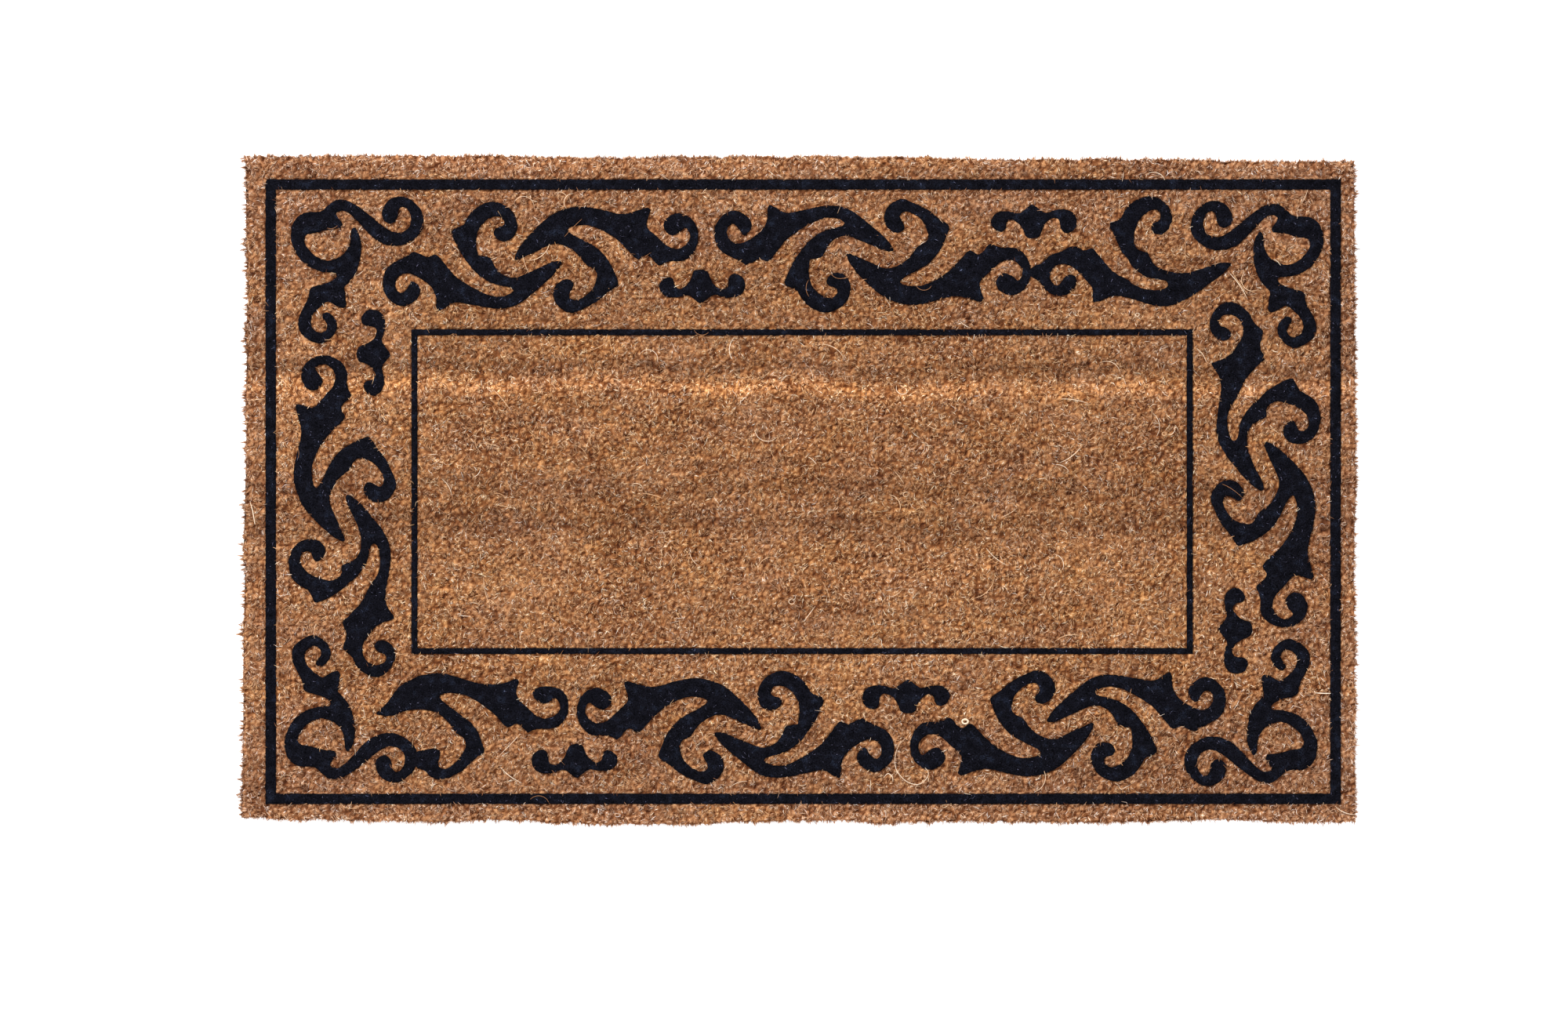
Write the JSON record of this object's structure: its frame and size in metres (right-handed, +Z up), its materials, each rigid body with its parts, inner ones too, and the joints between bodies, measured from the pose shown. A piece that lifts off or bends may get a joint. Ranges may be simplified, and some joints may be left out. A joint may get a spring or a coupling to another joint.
{
  "type": "door mat",
  "caption": "Rectangular tufted coir door mat with a flat vinyl backing and a dark flocked border design of acanthus scrolls between two plain lines.",
  "frame": {"origin": "centre of the mat's underside, on the floor plane", "axes": "+X along the long side of the mat, +Y across it towards the upper row of scrolls, +Z up through the pile, out of the printed face"},
  "size_m": [0.762, 0.457, 0.015],
  "materials": {
    "vinyl": "matte",
    "coir": "rough natural fibre",
    "flock": "velvety matte print"
  },
  "bodies": {
    "root": {"backing": "vinyl", "coir_pile": "coir", "outer_border": "flock", "inner_border": "flock", "scroll_top_1": "flock", "scroll_top_2": "flock", "scroll_top_3": "flock", "scroll_top_pair": "flock", "scroll_bottom_corner": "flock", "scroll_bottom_2": "flock", "scroll_bottom_3": "flock", "scroll_bottom_4": "flock", "scroll_bottom_5": "flock", "scroll_left_upper": "flock", "scroll_left_lower": "flock", "scroll_right_upper": "flock", "scroll_right_lower": "flock", "corner_scroll_top_left": "flock", "corner_scroll_top_right": "flock", "corner_scroll_bottom_right": "flock", "cartouche_top_left": "flock", "cartouche_top_right": "flock", "cartouche_bottom_left": "flock", "cartouche_bottom_right": "flock", "cartouche_left": "flock", "cartouche_right": "flock"}
  },
  "joints": []
}
